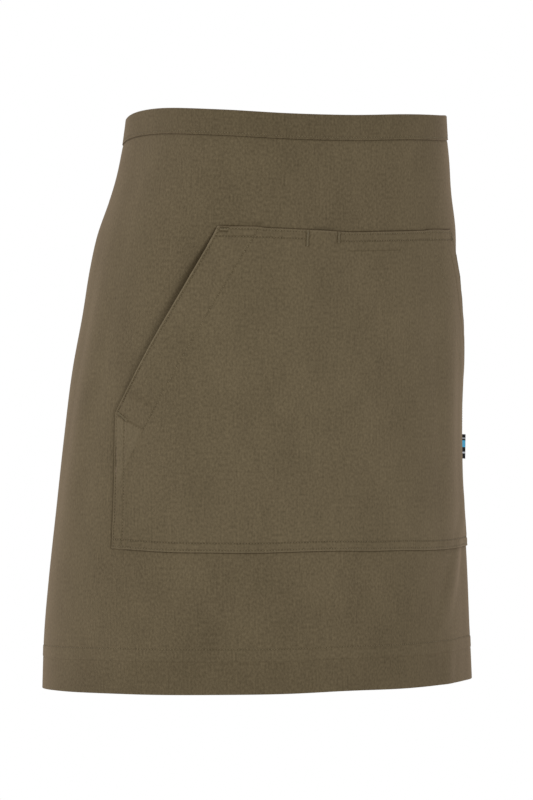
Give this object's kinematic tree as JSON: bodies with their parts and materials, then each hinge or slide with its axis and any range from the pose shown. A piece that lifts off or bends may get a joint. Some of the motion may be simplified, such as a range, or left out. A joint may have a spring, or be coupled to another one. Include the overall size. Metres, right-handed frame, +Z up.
{
  "type": "waist apron",
  "caption": "Short waist apron in its worn form: flared skirt panel on a folded waistband, wide patch pocket with slanted hand openings and a pen slot, tied at the back.",
  "frame": {"origin": "centre of the waist loop, at the middle of the waistband's height at the front", "axes": "+Z up along the wearer's body, front of the apron towards -Y, wearer's right towards -X"},
  "size_m": [0.3984, 0.2665, 0.5152],
  "materials": {
    "olive_cloth": "matt olive brown polyester and cotton twill with tone-on-tone stitching",
    "label_tape": "black woven label tape with plain blue and white stripes"
  },
  "bodies": {
    "root": {"skirt_panel": "olive_cloth", "waistband": "olive_cloth", "pocket_panel": "olive_cloth", "side_label": "label_tape", "tie_right": "olive_cloth", "tie_left": "olive_cloth", "tie_knot": "olive_cloth", "tie_end_right": "olive_cloth", "tie_end_left": "olive_cloth"}
  },
  "joints": []
}
